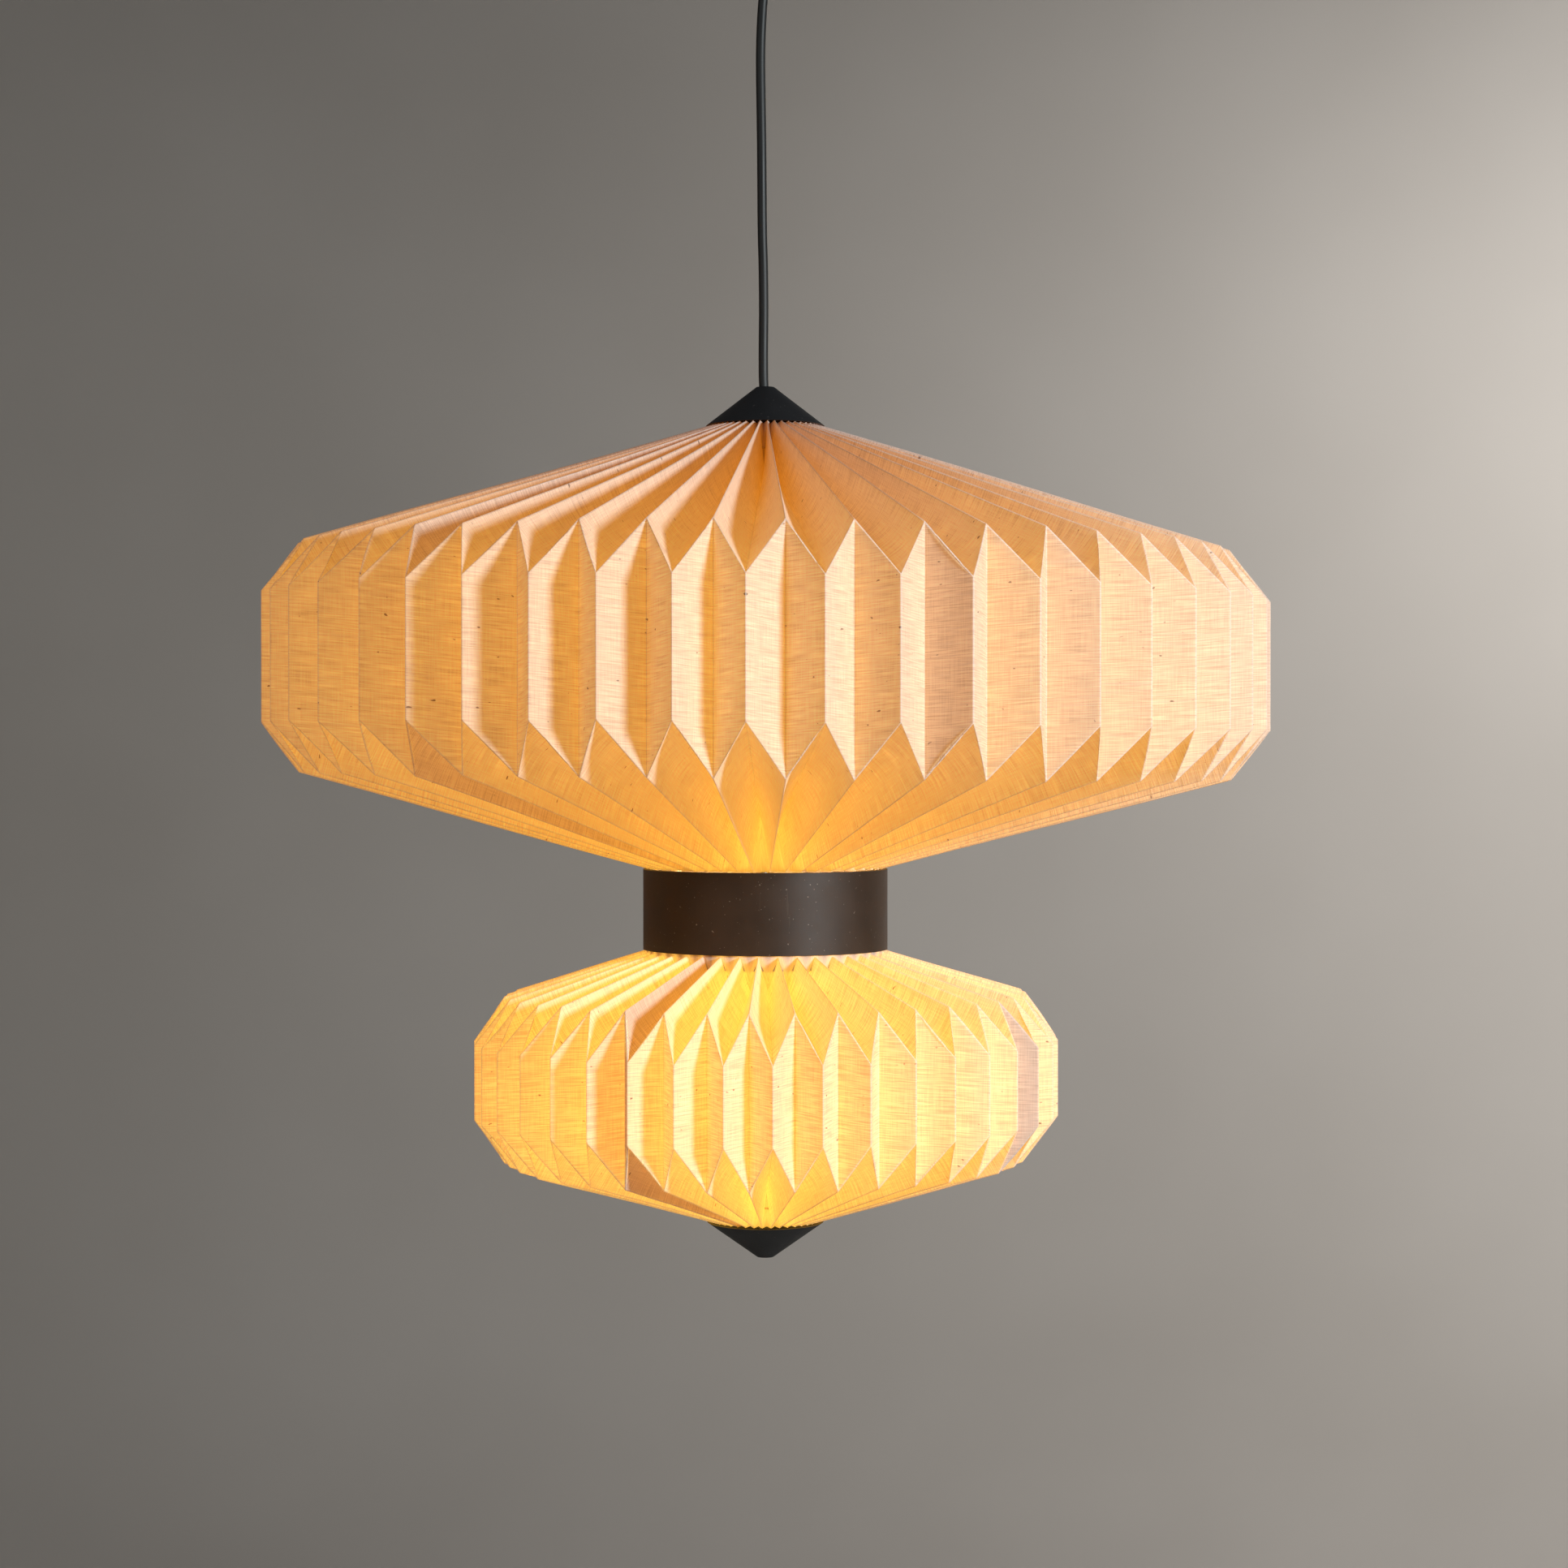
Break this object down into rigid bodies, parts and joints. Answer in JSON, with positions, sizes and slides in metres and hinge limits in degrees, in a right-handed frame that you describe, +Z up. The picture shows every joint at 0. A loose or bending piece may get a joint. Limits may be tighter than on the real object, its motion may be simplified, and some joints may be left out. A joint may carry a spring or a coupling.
{
  "type": "pleated pendant lamp",
  "caption": "Pendant lamp with a wide pleated shade over a smaller one, joined by a plain band, hung on a round cord from a ceiling cup.",
  "frame": {"origin": "on the ceiling, midway between the two fixing slots", "axes": "+Z up into the ceiling, the lamp hangs along -Z, its front faces -Y, +X to the right seen from the front"},
  "size_m": [0.6002, 0.6002, 0.8214],
  "materials": {
    "linen_upper": "linen laminated on card, lit from inside",
    "linen_lower": "linen laminated on card, lit from inside",
    "thread": "waxed linen thread",
    "black_metal": "matt black powder coat",
    "band_metal": "matt brown-black powder coat",
    "cord_rubber": "black round PVC cord",
    "black_plastic": "moulded",
    "seal_rubber": "soft rubber",
    "white_plastic": "moulded",
    "porcelain": "glazed",
    "zinc_steel": "zinc plated",
    "brass": "plain",
    "lead_brown": "wire insulation",
    "lead_blue": "wire insulation",
    "opal": "opal diffuser, lit"
  },
  "bodies": {
    "ceiling": {"ceiling_bracket": "zinc_steel", "ceiling_cup": "black_metal", "gland_body": "black_plastic", "gland_cap": "black_plastic", "gland_nut": "brass", "terminal_block": "white_plastic", "terminal_screws": "zinc_steel", "live_lead": "lead_brown", "neutral_lead": "lead_blue", "cord_tail": "cord_rubber"},
    "cup_screw_left": {"cup_screw_left": "black_metal"},
    "cup_screw_right": {"cup_screw_right": "black_metal"},
    "gland_seal": {"gland_seal": "seal_rubber"},
    "hanging_cord": {"cord": "cord_rubber"},
    "pendant": {"cord_grip": "black_plastic", "cord_grip_screw": "zinc_steel", "stem_tube": "zinc_steel", "stem_nut_upper": "zinc_steel", "stem_nut_lower": "zinc_steel", "neck_washer": "zinc_steel", "stem_cord": "cord_rubber", "upper_strip_1": "linen_upper", "upper_strip_2": "linen_upper", "upper_strip_3": "linen_upper", "upper_strip_4": "linen_upper", "upper_strip_5": "linen_upper", "upper_strip_6": "linen_upper", "upper_thread": "thread", "band": "band_metal", "band_spider": "zinc_steel", "spider_rivets": "zinc_steel", "band_pads": "seal_rubber", "holder_cap": "black_plastic", "holder_shell": "black_plastic", "holder_insert": "porcelain", "screw_shell": "brass", "centre_contact": "brass", "side_contact": "brass", "shade_ring_upper": "black_plastic", "shade_ring_lower": "black_plastic"},
    "top_cap": {"top_cap": "black_metal"},
    "bulb": {"bulb_base": "zinc_steel", "bulb_contact": "brass", "bulb_insulator": "black_plastic", "bulb_collar": "white_plastic", "bulb_dome": "opal"},
    "lower_shade": {"lower_strip_1": "linen_lower", "lower_strip_2": "linen_lower", "lower_strip_3": "linen_lower", "lower_strip_4": "linen_lower", "lower_hoop": "zinc_steel", "lower_thread": "thread", "bottom_washer": "zinc_steel", "bottom_stud": "zinc_steel", "bottom_nut": "zinc_steel"},
    "bottom_cone": {"bottom_cone": "black_metal"}
  },
  "joints": [
    {"name": "cup_screw_left_turn", "type": "hinge", "parent": "ceiling", "child": "cup_screw_left", "pos_m": [-0.05, 0, -0.008], "axis": [1, 0, 0], "continuous": true},
    {"name": "cup_screw_right_turn", "type": "hinge", "parent": "ceiling", "child": "cup_screw_right", "pos_m": [0.05, 0, -0.008], "axis": [1, 0, 0], "continuous": true},
    {"name": "swing_front", "type": "hinge", "parent": "ceiling", "child": "gland_seal", "pos_m": [0, 0, -0.034], "axis": [1, 0, 0], "range_deg": [-15, 15]},
    {"name": "swing_side", "type": "hinge", "parent": "gland_seal", "child": "hanging_cord", "pos_m": [0, 0, -0.034], "axis": [0, 1, 0], "range_deg": [-15, 15]},
    {"name": "cord_twist", "type": "hinge", "parent": "hanging_cord", "child": "pendant", "pos_m": [0, 0, -0.316], "axis": [0, 0, 1], "range_deg": [-90, 90], "stiffness_Nm_per_rad": 0.01},
    {"name": "cap_lift", "type": "slide", "parent": "pendant", "child": "top_cap", "axis": [0, 0, 1], "range_m": [0, 0.05]},
    {"name": "bulb_unscrew", "type": "slide", "parent": "pendant", "child": "bulb", "axis": [0, 0, -1], "range_m": [0, 0.03]},
    {"name": "lower_shade_pull", "type": "slide", "parent": "pendant", "child": "lower_shade", "axis": [0, 0, -1], "range_m": [0, 0.15]},
    {"name": "cone_unscrew", "type": "slide", "parent": "lower_shade", "child": "bottom_cone", "axis": [0, 0, -1], "range_m": [0, 0.02]}
  ]
}
